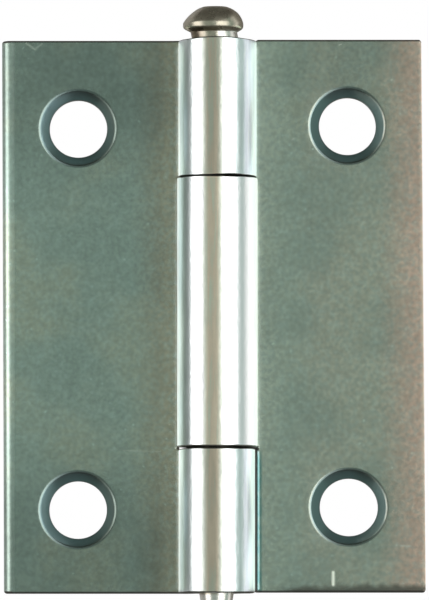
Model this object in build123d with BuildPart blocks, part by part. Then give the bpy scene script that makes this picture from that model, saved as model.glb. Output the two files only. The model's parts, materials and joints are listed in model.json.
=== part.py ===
from build123d import *

import os
from math import asin, degrees, radians, sqrt, tan

# Narrow steel butt hinge, opened flat: two stamped leaves rolled round one loose headed pin.
# +Z runs up the pin, -Y faces the countersunk front, +Y faces the surface it is screwed to.
# The origin is on the pin's axis, at mid height of the left leaf. Sizes are in millimetres.

# Leaves
leaf_length = 50.0              # both leaves, along the pin
left_reach = 19.3               # pin axis to the left leaf's outer edge
right_reach = 18.7              # pin axis to the right leaf's outer edge
sheet = 1.8                     # thickness of the steel strip
left_outer_round = 0.85         # long outer edge of the left leaf, rolled round at the mill
right_outer_round = 0.3         # long outer edge of the right leaf, slit and brushed
edge_round = 0.25               # cut front edges and corners, turned over by the press
notch_round = 0.15              # front edges of the notches
right_leaf_rise = 0.1           # how far the right leaf rides up in its end play

# Knuckles
pin_diameter = 3.3
pin_clearance = 0.1             # between the pin and the rolled knuckles, all round
top_knuckle = 12.3              # length, on the left leaf
bottom_knuckle = 13.0           # length, on the left leaf
knuckle_gap = 0.22              # between knuckles, along the pin
notch_clearance = 0.5           # between a leaf's notch and the other leaf's knuckle
roll_gap = 0.12                 # between the rolled end of a knuckle and its own leaf

# Screw holes
hole_diameter = 5.2
countersink_diameter = 7.1
countersink_angle = 90.0
countersink_round = 0.3         # soft rim left by the punch
hole_inset = 6.8                # hole centre to the leaf's outer edge
hole_spacing = 34.5             # between the two holes of a leaf
left_hole_drop = 0.2            # how far the left leaf's holes sit below its middle
right_hole_drop = 0.06          # how far the right leaf's holes sit below its middle

# Pin
head_diameter = 5.45
head_height = 2.9
head_top_diameter = 2.2         # flat on top of the head
head_top_round = 0.3            # edge of that flat
head_flank_radius = 2.6         # side of the head, from its belt to the flat
head_belt_height = 0.95         # upright belt, the widest part, above the top knuckle
head_belt_width = 0.45          # along the pin
head_belt_round = 0.35          # both edges of the belt
head_collar_height = 0.45       # straight collar under the head
head_collar_lip = 0.1           # least that the collar stands out from the shank
head_offset = 0.3               # the upset head sits this far to the left of the shank
tail_length = 2.5               # pin below the bottom knuckle
tail_taper = 9.0                # half angle of the lead-in taper, in degrees
taper_start = 0.6               # how far inside the bottom knuckle the taper starts
tail_round = 0.5

# Worked out from the sizes above
bore_radius = pin_diameter / 2 + pin_clearance
barrel_radius = bore_radius + sheet
roll_sweep = 270 + degrees(asin((bore_radius - roll_gap) / barrel_radius))
notch_reach = sqrt((barrel_radius + notch_clearance) ** 2 - bore_radius ** 2)
leaf_top = leaf_length / 2
leaf_bottom = -leaf_length / 2
top_joint = leaf_top - top_knuckle
bottom_joint = leaf_bottom + bottom_knuckle

LEFT = -1
RIGHT = 1
touch = 0.001                   # faces this close to a plane lie on it


def rolled_leaf(side, reach, outer_round, rise, hole_drop, knuckles):
    """Stamp one leaf: a flat plate whose tabs run behind the pin and roll round it.

    side is LEFT or RIGHT of the pin, and knuckles lists the bottom and top of each tab.
    """
    front = Plane.XZ.offset(-bore_radius)
    width = reach - notch_reach
    tab_root = side * (notch_reach + notch_round)
    hole_column = front.shift_origin((side * (reach - hole_inset), bore_radius, rise - hole_drop))
    with BuildPart() as leaf:
        # The flat plate, with its front edges turned over
        with BuildSketch(front):
            with Locations((side * (notch_reach + width / 2), rise)):
                Rectangle(width, leaf_length)
        extrude(amount=-sheet)
        long_edges = leaf.faces().sort_by(Axis.Y)[0].edges().filter_by(Axis.Z)
        fillet(long_edges.sort_by(Axis.X, reverse=side == RIGHT)[0], outer_round)
        ends = leaf.faces().filter_by(Axis.Z).edges()
        inner_side = ends.filter_by(Axis.Y).sort_by(Axis.X, reverse=side == LEFT)[:2]
        back_side = ends.group_by(Axis.Y)[-1]
        fillet(ends - inner_side - back_side, edge_round)
        front_edges = leaf.faces().sort_by(Axis.Y)[0].edges().filter_by(Axis.Z)
        fillet(front_edges.sort_by(SortBy.DISTANCE)[0], notch_round)

        # The tabs, each rolled nearly a full circle, back to its own plate
        for bottom, top in knuckles:
            with BuildSketch(Plane.XY.offset(bottom)):
                with BuildLine():
                    outside = CenterArc((0, 0), barrel_radius, 90, side * roll_sweep)
                    inside = CenterArc((0, 0), bore_radius, 90, side * roll_sweep)
                    Line(outside @ 1, inside @ 1)
                    Polyline(outside @ 0, (tab_root, barrel_radius), (tab_root, bore_radius), inside @ 0)
                make_face()
            extrude(amount=top - bottom)

        # The countersunk screw holes, with the soft rim that the punch leaves
        with Locations(hole_column):
            with GridLocations(0, hole_spacing, 1, 2):
                CounterSinkHole(
                    hole_diameter / 2,
                    countersink_diameter / 2,
                    counter_sink_angle=countersink_angle,
                )
        forward_faces = leaf.faces().filter_by(Axis.Y)
        plate_front = forward_faces.filter_by_position(Axis.Y, bore_radius - touch, bore_radius + touch)
        rims = plate_front.edges().filter_by(GeomType.CIRCLE)
        fillet(rims.group_by(SortBy.RADIUS)[-1], countersink_round)
    return leaf


# The left leaf carries the top and bottom knuckles
left_leaf = rolled_leaf(
    LEFT,
    left_reach,
    left_outer_round,
    0,
    left_hole_drop,
    [(leaf_bottom, bottom_joint), (top_joint, leaf_top)],
)

# The right leaf carries the long middle knuckle
right_leaf = rolled_leaf(
    RIGHT,
    right_reach,
    right_outer_round,
    right_leaf_rise,
    right_hole_drop,
    [(bottom_joint + knuckle_gap, top_joint - knuckle_gap)],
)

# The pin drops in from above: a straight shank with a tapered tail and an upset head
shank_radius = pin_diameter / 2
taper_top = leaf_bottom + taper_start
tail_end = leaf_bottom - tail_length
tail_radius = shank_radius - (taper_top - tail_end) * tan(radians(tail_taper))
head_seat = Plane.XZ.shift_origin((-head_offset, 0, leaf_top))
collar_radius = shank_radius + head_offset + head_collar_lip
belt_low = (head_diameter / 2, head_belt_height)
belt_high = (head_diameter / 2, head_belt_height + head_belt_width)
head_top = (head_top_diameter / 2, head_height)
with BuildPart() as hinge_pin:
    with BuildSketch(Plane.XZ) as shank_half:
        with BuildLine():
            Polyline(
                (0, leaf_top),
                (shank_radius, leaf_top),
                (shank_radius, taper_top),
                (tail_radius, tail_end),
                (0, tail_end),
                close=True,
            )
        make_face()
        tail_corner = shank_half.vertices().group_by(Axis.Y)[0].sort_by(Axis.X)[-1]
        fillet(tail_corner, tail_round)
    revolve(axis=Axis.Z)
    with BuildSketch(head_seat) as head_half:
        with BuildLine():
            Polyline(
                head_top,
                (0, head_height),
                (0, 0),
                (collar_radius, 0),
                (collar_radius, head_collar_height),
                belt_low,
                belt_high,
            )
            RadiusArc(belt_high, head_top, -head_flank_radius)
        make_face()
        fillet(head_half.vertices().group_by(Axis.X)[-1], head_belt_round)
        fillet(head_half.vertices().group_by(Axis.Y)[-1].sort_by(Axis.X)[-1], head_top_round)
    revolve(axis=Axis((-head_offset, 0, 0), (0, 0, 1)))

os.makedirs("parts", exist_ok=True)
left_leaf.part.label = "left_leaf"
right_leaf.part.label = "right_leaf"
hinge_pin.part.label = "hinge_pin"
export_step(left_leaf.part, "parts/left_leaf.step")
export_step(right_leaf.part, "parts/right_leaf.step")
export_step(hinge_pin.part, "parts/hinge_pin.step")
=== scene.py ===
"""Dresses a packed narrow hinge: two rolled, zinc-plated leaves, a loose steel pin and a small studio."""

import json
import math
from functools import reduce

import bmesh
import bpy
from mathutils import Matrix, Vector


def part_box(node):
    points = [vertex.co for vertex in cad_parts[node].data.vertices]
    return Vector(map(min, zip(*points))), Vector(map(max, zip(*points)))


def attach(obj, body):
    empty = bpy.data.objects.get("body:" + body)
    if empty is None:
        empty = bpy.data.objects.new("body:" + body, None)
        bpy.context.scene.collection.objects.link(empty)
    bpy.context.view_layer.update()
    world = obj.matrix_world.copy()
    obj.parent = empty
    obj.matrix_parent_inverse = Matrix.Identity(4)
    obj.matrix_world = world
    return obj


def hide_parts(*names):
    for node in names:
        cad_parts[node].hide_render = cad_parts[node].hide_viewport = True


bl_info = {
    "name": "Narrow hinge",
    "version": (1, 0, 0),
    "blender": (4, 5, 0),
    "location": "View3D > Sidebar > Hinge",
    "description": "Rolls and plates the leaves of a narrow hinge, turns its pin and sets up a small studio",
    "category": "Object",
}

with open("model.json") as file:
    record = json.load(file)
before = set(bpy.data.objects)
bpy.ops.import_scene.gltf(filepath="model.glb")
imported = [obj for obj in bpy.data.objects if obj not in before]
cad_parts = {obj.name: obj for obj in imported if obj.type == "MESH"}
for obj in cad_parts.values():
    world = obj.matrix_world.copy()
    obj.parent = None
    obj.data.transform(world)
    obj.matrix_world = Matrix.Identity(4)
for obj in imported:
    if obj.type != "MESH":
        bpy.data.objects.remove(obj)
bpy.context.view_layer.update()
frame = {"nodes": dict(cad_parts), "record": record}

MM = 0.001
LEFT = -1
RIGHT = 1
LEAVES = (("left_leaf", LEFT), ("right_leaf", RIGHT))
BEYOND_PIN = 0.1 * MM           # points this far past the axis belong to a knuckle


# What the frame says

def knuckle_points(node, side):
    """Corners of a leaf that lie on the far side of the pin, which only its knuckles reach."""
    corners = frame["nodes"][node].data.vertices
    return [corner.co for corner in corners if corner.co.x * side < -BEYOND_PIN]


def knuckle_spans(node, side):
    """The bottom and top of each knuckle of a leaf."""
    heights = sorted({round(point.z, 6) for point in knuckle_points(node, side)})
    if len(heights) % 2:
        raise ValueError(f"{node} has knuckles with no clear ends: {heights}")
    return list(zip(heights[0::2], heights[1::2]))


def mount(name):
    """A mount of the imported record, by its name."""
    return next(entry for entry in frame["record"]["mounts"] if entry["name"] == name)


left_points = knuckle_points("left_leaf", LEFT)
bore_radius = min(math.hypot(point.x, point.y) for point in left_points)
barrel_radius = max(math.hypot(point.x, point.y) for point in left_points)
pin_low, pin_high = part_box("hinge_pin")
leaf_low, leaf_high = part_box("left_leaf")


# Sizes and colours that a user would change

def length(name, description, millimetres):
    """A size in the sidebar, given in millimetres."""
    return bpy.props.FloatProperty(
        name=name, description=description, default=millimetres * MM, unit="LENGTH", precision=5
    )


def share(name, description, value):
    """A plain number between 0 and 1 in the sidebar."""
    return bpy.props.FloatProperty(name=name, description=description, default=value, min=0, max=1)


def colour(name, description, value):
    """A colour in the sidebar, in linear light."""
    return bpy.props.FloatVectorProperty(
        name=name, description=description, default=value, subtype="COLOR", size=3, min=0, max=1
    )


def angle(name, description, degrees):
    """An angle in the sidebar, given in degrees."""
    return bpy.props.FloatProperty(
        name=name, description=description, default=math.radians(degrees), subtype="ANGLE"
    )


class LeafSizes(bpy.types.PropertyGroup):
    """How the leaves are stamped and rolled."""

    left_round: length("Left outer edge", "Rounding of the left leaf's outer edge, rolled at the mill", 0.85)
    edge_round: length("Cut edges", "Rounding that the press leaves on the cut front edges", 0.25)
    crisp_edge: length("Crisp edges", "Break on the right outer edge, the notches and the top joint", 0.05)
    slot_round: length("Slot", "Rounding of the notch beside the bottom knuckle, which shows as a slot", 0.32)
    back_edge: length("Back edges", "Rounding of the torn back edges, the outer ends of the knuckles", 0.13)
    edge_droop: length("Edge droop", "How far the front face sinks towards the outer edges", 0.04)
    droop_width: length("Droop width", "How far in from the outer edges the front face sinks", 3.0)
    left_lean: length("Left edge lean", "How far the left leaf's outer edge leans over its length", 0.12)
    right_lean: length("Right edge lean", "How far the right leaf's outer edge leans over its length", 0.17)
    left_notch: length("Left notch", "Room between the left leaf's notch and the middle knuckle", 0.4)
    right_notch: length("Right notches", "Room between the right leaf's notches and the other knuckles", 0.42)
    notch_slant: length("Notch slant", "How far a notch's torn wall leans in towards the back", 0.2)
    roll_gap: length("Roll gap", "Room between a knuckle's rolled end and its own leaf", 0.12)
    top_loose: length("Top knuckle", "How much fatter the top knuckle is", -0.03)
    middle_loose: length("Middle knuckle", "How much fatter the middle knuckle is", 0.07)
    bottom_loose: length("Bottom knuckle", "How much fatter the bottom knuckle is", -0.12)
    top_shift: length("Top shift", "How far the top knuckle sits to the right", 0.09)
    middle_shift: length("Middle shift", "How far the middle knuckle sits to the right", 0.08)
    bottom_shift: length("Bottom shift", "How far the bottom knuckle sits to the right", 0.03)
    countersink_width: length("Countersink", "Countersink's width at the front face", 6.86)
    countersink_round: length("Countersink rim", "Rounding of the countersink's rim", 0.55)
    ragged: length("Ragged ends", "How far the sheared ends of the knuckles wander", 0.06)
    top_shoulder: length("Top shoulders", "How far the top knuckle's end falls away at its sides", 0.25)
    top_burr: length("Top joint burr", "How far the knuckle ends stand out into the top joint", 0.02)
    top_drop: length("Top joint drop", "How far the top joint sits below its nominal height", 0.12)
    bottom_burr: length("Bottom joint burr", "How far the knuckle ends stand out into the bottom joint", 0.04)
    bottom_drop: length("Bottom joint drop", "How far the bottom joint sits below its nominal height", 0.06)
    waviness: length("Waviness", "How far the rolled sheet wanders from true", 0.008)


class PinSizes(bpy.types.PropertyGroup):
    """How the pin is turned and headed."""

    top_flat: length("Top flat", "Width of the flat on top of the head", 2.2)
    top_round: length("Top rounding", "Rounding of the edge of that flat", 0.3)
    flank_radius: length("Flank", "Radius of the head's flank, from its belt to the flat", 2.6)
    flank_lean: length("Flank lean", "How far the flank leans over to the right", 0.17)
    belt_height: length("Belt height", "Height of the head's upright belt above its seat", 0.95)
    belt_width: length("Belt width", "Width of that belt along the pin", 0.45)
    belt_round: length("Belt rounding", "Rounding of the belt's edges", 0.35)
    collar_height: length("Collar", "Height of the straight collar under the head", 0.6)
    seat_lip: length("Seat lip", "Least that the collar stands out from the shank", 0.15)
    taper_start: length("Taper start", "How far inside the bottom knuckle the tail's taper starts", 0.6)
    taper: angle("Taper", "Half angle of the tail's taper", 9)
    tail_round: length("Tail rounding", "Rounding of the tail's end", 0.5)


class Finish(bpy.types.PropertyGroup):
    """Colours and gloss of the plating and of the pin."""

    sea_green: colour("Green plating", "Zinc with a green passivation, on the flats", (0.41, 0.52, 0.455))
    bronze: colour("Bronze plating", "Bronze passivation, in clouds", (0.46, 0.51, 0.405))
    slate: colour("Slate plating", "Bluer passivation, in clouds", (0.40, 0.51, 0.47))
    olive: colour("Olive plating", "Yellower plating over the right leaf", (0.52, 0.545, 0.445))
    umber: colour("Umber plating", "Browned plating beside the left leaf's knuckles", (0.431, 0.415, 0.315))
    teal: colour("Teal plating", "Bluer plating beside the right leaf's knuckle", (0.54, 0.615, 0.51))
    rose: colour("Rose plating", "Worn, pinkish plating by the right outer edge", (0.75, 0.565, 0.455))
    bright: colour("Bright plating", "Zinc stretched bright over the knuckles", (0.74, 0.74, 0.61))
    taupe: colour("Taupe plating", "Browner streaks down the front of the knuckles", (0.75, 0.62, 0.49))
    # Painted reflection colour: the barrel's outer sides are made icier than the same zinc elsewhere
    outer_reflection_tint: colour("Icy plating", "The same zinc at the outer sides of the barrel", (0.88, 0.94, 1.0))
    # Painted reflection colour: the knuckles' sides are made cooler than their front
    side_reflection_tint: colour("Cool plating", "The same zinc down the sides of the knuckles", (0.87, 0.94, 0.93))
    # Bare steel on the sheared edges, also painted shade on them and at the knuckle ends in the joints
    torn: colour("Torn steel", "Bare, oxidised steel on the sheared edges", (0.14, 0.14, 0.12))
    # Stain in the countersinks, also painted shade in the recess
    sunk: colour("Sunk steel", "Stained steel of the countersinks", (0.23, 0.32, 0.315))
    # Painted shade on the side of each countersink that faces left
    left_facing_shade: colour("Soiled steel", "Dirt in the side of a countersink that faces left", (0.115, 0.145, 0.125))
    # Green stain beside the bottom knuckle, also painted shade in that crevice
    slot: colour("Slot stain", "Green stain on the edge beside the bottom knuckle", (0.20, 0.37, 0.33))
    scuffed: colour("Scuffs", "Bright metal in scuffs and scratches", (0.86, 0.96, 0.80))
    pin_steel: colour("Pin steel", "Drawn steel of the pin", (0.51, 0.475, 0.375))
    # Painted highlight on the pin's collar on the right and on its tail
    pin_painted_highlight: colour("Rubbed steel", "The pin's collar on the right, and its tail", (0.80, 0.79, 0.72))
    # Brown stain in patches on the head, also painted shade on the left of the collar and underside
    pin_stain_and_shade: colour("Pin stain", "Brown stain on the pin's head", (0.24, 0.16, 0.12))
    # Dark grease on the pin inside the knuckles, also painted shade in the joints
    grease: colour("Old grease", "Dark grease on the pin inside the knuckles", (0.07, 0.065, 0.05))
    flat_roughness: share("Flat roughness", "Roughness of the flats", 0.22)
    barrel_roughness: share("Barrel roughness", "Roughness of the rolled knuckles", 0.3)
    flank_roughness: share("Flank roughness", "Roughness of the knuckles' right side", 0.37)
    torn_roughness: share("Torn roughness", "Roughness of the sheared edges", 0.55)
    pin_roughness: share("Pin roughness", "Roughness of the pin", 0.29)


class Studio(bpy.types.PropertyGroup):
    """Camera, lamps and floor."""

    distance: length("Camera distance", "From the camera to the front of the leaves", 800)
    drop: length("Camera drop", "How far the camera is below the middle of the pin", 42)
    aim_height: length("Aim height", "Height of the point that the camera looks at", 1.5)
    aim_side: length("Aim side", "How far to the right the camera looks", -0.18)
    view_height: length("View height", "Height of the picture at the leaves", 54.2)
    floor_height: length("Floor", "Height of the floor", -70)
    lamp_radiance: bpy.props.FloatProperty(
        name="Lamps", description="Brightness of the softboxes", default=1.2
    )
    fill: share("Fill", "Brightness of the white room on matt surfaces", 0.55)


# Node wiring shared by the geometry and the materials

class Wiring:
    """Adds nodes to one tree and joins them up."""

    def __init__(self, tree):
        self.tree = tree

    def add(self, kind, sources=None, **settings):
        """A new node with these settings, its sockets fed by name or number."""
        node = self.tree.nodes.new(kind)
        for name, value in settings.items():
            setattr(node, name, value)
        for name, source in (sources or {}).items():
            self.feed(node.inputs[name], source)
        return node

    def feed(self, socket, source):
        """Join an output to a socket, or set the socket to a plain value; a colour gets full alpha."""
        if isinstance(source, bpy.types.NodeSocket):
            self.tree.links.new(source, socket)
        elif socket.type == "RGBA":
            socket.default_value = (*source, 1.0)
        else:
            socket.default_value = source

    def math(self, operation, *sources):
        """A Math node's result."""
        return self.add("ShaderNodeMath", dict(enumerate(sources)), operation=operation).outputs[0]

    def times(self, *sources):
        """The product of its sources."""
        return reduce(lambda first, second: self.math("MULTIPLY", first, second), sources)

    def plus(self, *sources):
        """The sum of its sources."""
        return reduce(lambda first, second: self.math("ADD", first, second), sources)

    def minus(self, first, second):
        """The first source less the second."""
        return self.math("SUBTRACT", first, second)

    def vector(self, operation, *sources):
        """A Vector Math node's result: a number for lengths and dot products, otherwise a vector."""
        node = self.add("ShaderNodeVectorMath", dict(enumerate(sources)), operation=operation)
        return node.outputs["Value" if operation in ("DOT_PRODUCT", "LENGTH") else "Vector"]

    def scaled(self, source, factor):
        """A vector or a colour times a number."""
        return self.add("ShaderNodeVectorMath", {0: source, "Scale": factor}, operation="SCALE").outputs[0]

    def ramp(self, source, low, high, start=0.0, end=1.0):
        """A smooth step of source from low to high, put out as start to end."""
        limits = {"Value": source, "From Min": low, "From Max": high, "To Min": start, "To Max": end}
        return self.add("ShaderNodeMapRange", limits, interpolation_type="SMOOTHSTEP").outputs["Result"]

    def blend(self, factor, first, second):
        """A colour between first and second, through the Mix node's own sockets for colours."""
        return self.add("ShaderNodeMix", {0: factor, 6: first, 7: second}, data_type="RGBA").outputs[2]

    def mixed(self, factor, first, second):
        """A shader between first and second."""
        return self.add("ShaderNodeMixShader", {0: factor, 1: first, 2: second}).outputs[0]

    def noise(self, position, scale, detail=2.0, roughness=0.5):
        """Soft noise around one half."""
        sources = {"Vector": position, "Scale": scale, "Detail": detail, "Roughness": roughness}
        return self.add("ShaderNodeTexNoise", sources).outputs[0]

    def field(self, name):
        """A number stored on the mesh, in geometry nodes."""
        return self.add("GeometryNodeInputNamedAttribute", {"Name": name}, data_type="FLOAT").outputs[0]

    def stored(self, name):
        """A number stored on the mesh, in a material."""
        return self.add("ShaderNodeAttribute", attribute_name=name).outputs["Fac"]

    def axes(self, position):
        """The X, Y and Z of a position."""
        return self.add("ShaderNodeSeparateXYZ", {0: position}).outputs

    def point(self, *axes):
        """A position from its X, Y and Z."""
        return self.add("ShaderNodeCombineXYZ", dict(enumerate(axes))).outputs[0]


def new_group(name, kind, inputs, outputs):
    """A node group whose sockets are named by type: its wiring, what goes in and what comes out."""
    wire = Wiring(bpy.data.node_groups.new(name, kind))
    for way, sockets in (("INPUT", inputs), ("OUTPUT", outputs)):
        for type_name, names in sockets.items():
            for socket in names:
                wire.tree.interface.new_socket(socket, in_out=way, socket_type="NodeSocket" + type_name)
    return wire, wire.add("NodeGroupInput").outputs, wire.add("NodeGroupOutput").inputs


# The rolled leaves

GRID_STEP = 0.8 * MM            # spacing of the grid on a leaf's flat
ROLL_STEP = math.radians(3)     # and round its knuckles
EDGE_ROOM = 0.06 * MM           # between an edge's rounding and the next line of the grid
HOLE_CELL = 3.9 * MM            # half the square of the grid that is kept for a hole
HOLE_SEGMENTS = 16              # grid steps along that square's side
HOLE_BREAK = 0.06 * MM          # break of the edge where a countersink meets its hole
SQUARE = math.radians(75)       # edges whose faces meet at more than this are rounded
LEAN_WIDTHS = {LEFT: 3.0 * MM, RIGHT: 12.0 * MM}    # how far in from its outer edge a leaf leans
RAGGED_WIDTH = 0.8 * MM         # how far in from a knuckle's end it is ragged
PAINTED_SHADE_ENDS = 6                   # how much more torn the ends of the knuckles look, but for the top joint: painted shade in the joints
STAIN_AND_SHADE_MARGIN = 0.24 * MM        # how far the stain and painted shade reach past a countersink's rim
STAIN_AND_SHADE_FADE = 0.33 * MM          # and over what width they fade out
SAME = 1e-7                     # places closer than this are one place


def exact(value):
    """A size read from the frame, without its last stray digits."""
    return round(value, 7)


def spaced(start, end, step):
    """Even values from start up to, but not including, end."""
    count = max(1, round((end - start) / step))
    return [start + (end - start) * index / count for index in range(count)]


def grid_lines(stops, fine):
    """Grid lines through every stop, with the stretches in fine split evenly for a hole."""
    lines = []
    for start, end in zip(stops, stops[1:]):
        step = (end - start) / HOLE_SEGMENTS if (start, end) in fine else GRID_STEP
        lines += spaced(start, end, step)
    return lines + [stops[-1]]


def join_rings(bm, rings):
    """Faces between each closed ring of vertices and the next."""
    for ring, following in zip(rings, rings[1:]):
        for index in range(len(ring)):
            after = (index + 1) % len(ring)
            bm.faces.new([ring[index], ring[after], following[after], following[index]])


class Blank:
    """The flat strip that a leaf is rolled from, as a mesh of front, back and sheared edges.

    u runs from the pin to the leaf's outer edge, and is negative along the tabs; v is the height.
    """

    def __init__(self, node, side, sizes):
        low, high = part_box(node)
        self.side = side
        self.sizes = sizes
        self.reach = exact(max(abs(low.x), abs(high.x)))
        self.outer_round = sizes.left_round if side == LEFT else sizes.crisp_edge
        self.lean = sizes.left_lean if side == LEFT else sizes.right_lean
        self.lean_width = LEAN_WIDTHS[side]
        self.bottom = exact(low.z)
        self.top = exact(high.z)
        self.spans = knuckle_spans(node, side)
        clear = barrel_radius + (sizes.left_notch if side == LEFT else sizes.right_notch)
        self.notch = math.sqrt(clear ** 2 - bore_radius ** 2)
        self.fits = [self.knuckle_fit(side, span) for span in self.spans]
        rolled_end = math.asin((bore_radius - sizes.roll_gap) / barrel_radius)
        self.neutral = (bore_radius + barrel_radius) / 2
        self.tab = (1.5 * math.pi + rolled_end) * self.neutral
        screws = mount(node + "_screws")
        self.hole_radius = screws["dims"]["hole_r_mm"] * MM
        self.hole_u = abs(screws["pos_m"][0])
        half_spacing = screws["dims"]["spacing_y_mm"] * MM / 2
        self.hole_heights = [screws["pos_m"][2] - half_spacing, screws["pos_m"][2] + half_spacing]
        self.bm = bmesh.new()
        self.corners = {}

    def knuckle_fit(self, side, span):
        """How far a knuckle sits to the right, and how much fatter it is."""
        if side == RIGHT:
            return self.sizes.middle_shift, self.sizes.middle_loose
        if span[0] > 0:
            return self.sizes.top_shift, self.sizes.top_loose
        return self.sizes.bottom_shift, self.sizes.bottom_loose

    def corner(self, u, v, depth):
        """The mesh vertex at a place on the strip, made once."""
        key = (exact(u), exact(v), exact(depth))
        if key not in self.corners:
            on_notch = abs(u - self.notch) < SAME and depth == barrel_radius
            lean = self.sizes.notch_slant if on_notch and not self.in_tab(v) else 0
            self.corners[key] = self.bm.verts.new((self.side * (u - lean), depth, v))
        return self.corners[key]

    def in_tab(self, v):
        """Whether a height lies within one of the tabs."""
        return any(bottom < v < top for bottom, top in self.spans)

    def build(self):
        """The strip's mesh data, with its edges rounded and its attributes set."""
        self.lay_grid()
        bmesh.ops.recalc_face_normals(self.bm, faces=self.bm.faces)
        self.round_edges()
        self.mark_places()
        mesh = bpy.data.meshes.new("blank")
        self.bm.to_mesh(mesh)
        self.bm.free()
        return mesh

    def lay_grid(self):
        """Front and back faces cell by cell, walls where a cell has no neighbour, and the holes."""
        column = (exact(self.hole_u - HOLE_CELL), exact(self.hole_u + HOLE_CELL))
        rows = [(exact(height - HOLE_CELL), exact(height + HOLE_CELL)) for height in self.hole_heights]
        edge = self.sizes.edge_round + EDGE_ROOM
        u_lines = [-self.tab, *spaced(edge - self.tab, 0, self.neutral * ROLL_STEP)]
        outer_edge = max(self.outer_round, self.sizes.edge_round) + EDGE_ROOM
        notch_edge = self.sizes.slot_round + EDGE_ROOM
        u_stops = [0, self.notch, self.notch + notch_edge, *column, self.reach - outer_edge, self.reach]
        u_lines += grid_lines(u_stops, [column])
        v_stops = set()
        for low, high in [(self.bottom, self.top), *self.spans]:
            v_stops.update(exact(stop) for stop in (low, low + edge, high - edge, high))
        for row in rows:
            v_stops.update(row)
        v_lines = grid_lines(sorted(v_stops), rows)
        cells = {}
        for i, (u0, u1) in enumerate(zip(u_lines, u_lines[1:])):
            for j, (v0, v1) in enumerate(zip(v_lines, v_lines[1:])):
                u = (u0 + u1) / 2
                v = (v0 + v1) / 2
                if u > self.notch or self.in_tab(v):
                    cells[i, j] = column[0] < u < column[1] and any(low < v < high for low, high in rows)
        for (i, j), in_hole in cells.items():
            u0, u1, v0, v1 = u_lines[i], u_lines[i + 1], v_lines[j], v_lines[j + 1]
            if not in_hole:
                for depth in (bore_radius, barrel_radius):
                    ring = [(u0, v0), (u1, v0), (u1, v1), (u0, v1)]
                    self.bm.faces.new([self.corner(u, v, depth) for u, v in ring])
            sides = (
                ((i - 1, j), (u0, v0), (u0, v1)),
                ((i + 1, j), (u1, v0), (u1, v1)),
                ((i, j - 1), (u0, v0), (u1, v0)),
                ((i, j + 1), (u0, v1), (u1, v1)),
            )
            for neighbour, start, end in sides:
                if neighbour not in cells:
                    self.bm.faces.new(
                        [
                            self.corner(*start, bore_radius),
                            self.corner(*end, bore_radius),
                            self.corner(*end, barrel_radius),
                            self.corner(*start, barrel_radius),
                        ]
                    )
        for height in self.hole_heights:
            self.punch(height, u_lines, v_lines)

    def punch(self, height, u_lines, v_lines):
        """A countersunk hole: rings from the square cell, over the rounded rim, to the back."""
        us = [u for u in u_lines if abs(u - self.hole_u) < HOLE_CELL + SAME]
        vs = [v for v in v_lines if abs(v - height) < HOLE_CELL + SAME]
        square = [(u, vs[0]) for u in us[:-1]]
        square += [(us[-1], v) for v in vs[:-1]]
        square += [(u, vs[-1]) for u in reversed(us[1:])]
        square += [(us[0], v) for v in reversed(vs[1:])]
        first_corner = -0.75 * math.pi
        circle = []
        for index in range(len(square)):
            turn = first_corner + 2 * math.pi * index / len(square)
            circle.append((math.cos(turn), math.sin(turn)))
        front = [self.corner(u, v, bore_radius) for u, v in square]
        back = [self.corner(u, v, barrel_radius) for u, v in square]
        rings = [front]
        for radius, depth in self.hole_profile():
            ring = [(self.hole_u + radius * across, height + radius * up) for across, up in circle]
            rings.append([self.corner(u, v, depth) for u, v in ring])
        join_rings(self.bm, [*rings, back])

    def hole_profile(self):
        """Radius and depth down a countersunk hole, from the flat over the rounded rim to the back."""
        rim = self.sizes.countersink_width / 2
        rounding = self.sizes.countersink_round
        lead = rounding * math.tan(math.pi / 8)
        steps = 6
        profile = []
        for step in range(steps + 1):
            slope = math.pi / 4 * step / steps
            radius = rim + lead - rounding * math.sin(slope)
            profile.append((radius, bore_radius + rounding * (1 - math.cos(slope))))
        cone_end = bore_radius + rim - self.hole_radius
        for up_cone in (2 * HOLE_BREAK, HOLE_BREAK / 2):
            profile.append((self.hole_radius + up_cone, cone_end - up_cone))
        return profile + [(self.hole_radius, cone_end + HOLE_BREAK), (self.hole_radius, barrel_radius)]

    def round_edges(self):
        """Round the edges, the widest roundings first, because each is limited by those it meets."""
        sizes = self.sizes
        if self.side == LEFT:
            self.bevel(lambda edge: self.on_front(edge, self.reach), sizes.left_round, segments=8)
        else:
            self.bevel(self.in_slot, sizes.slot_round, segments=5)
        self.bevel(self.is_cut, sizes.edge_round, segments=5)
        self.bevel(lambda edge: not self.is_crisp(edge), sizes.back_edge, segments=4)
        self.bevel(lambda edge: True, sizes.crisp_edge, segments=1)

    def at_depth(self, edge, depth):
        """Whether an edge lies in the front or the back of the sheet."""
        return all(abs(vert.co.y - depth) < SAME for vert in edge.verts)

    def on_front(self, edge, u):
        """Whether an edge runs up and down the front, at a distance from the pin."""
        upright = all(abs(vert.co.x * self.side - u) < SAME for vert in edge.verts)
        return upright and self.at_depth(edge, bore_radius)

    def in_slot(self, edge):
        """Whether an edge is that of the right leaf's notch beside the bottom knuckle."""
        return self.on_front(edge, self.notch) and edge.verts[0].co.z < 0

    def is_crisp(self, edge):
        """Whether an edge stays nearly sharp: the notches, the right outer edge and the tight top joint."""
        in_notch = all(vert.co.x * self.side < self.notch + SAME for vert in edge.verts)
        in_top_joint = all(0 < vert.co.z < self.top - MM for vert in edge.verts)
        level = abs(edge.verts[0].co.z - edge.verts[1].co.z) < SAME
        if self.at_depth(edge, bore_radius):
            return in_notch or self.on_front(edge, self.reach)
        return in_notch and in_top_joint and level and self.at_depth(edge, barrel_radius)

    def is_cut(self, edge):
        """Whether the press turned an edge over: all in front, but for the tabs' rolled-in ends."""
        at_tab_end = any(vert.co.x * self.side < SAME - self.tab for vert in edge.verts)
        return not (at_tab_end or self.at_depth(edge, barrel_radius) or self.is_crisp(edge))

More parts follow.
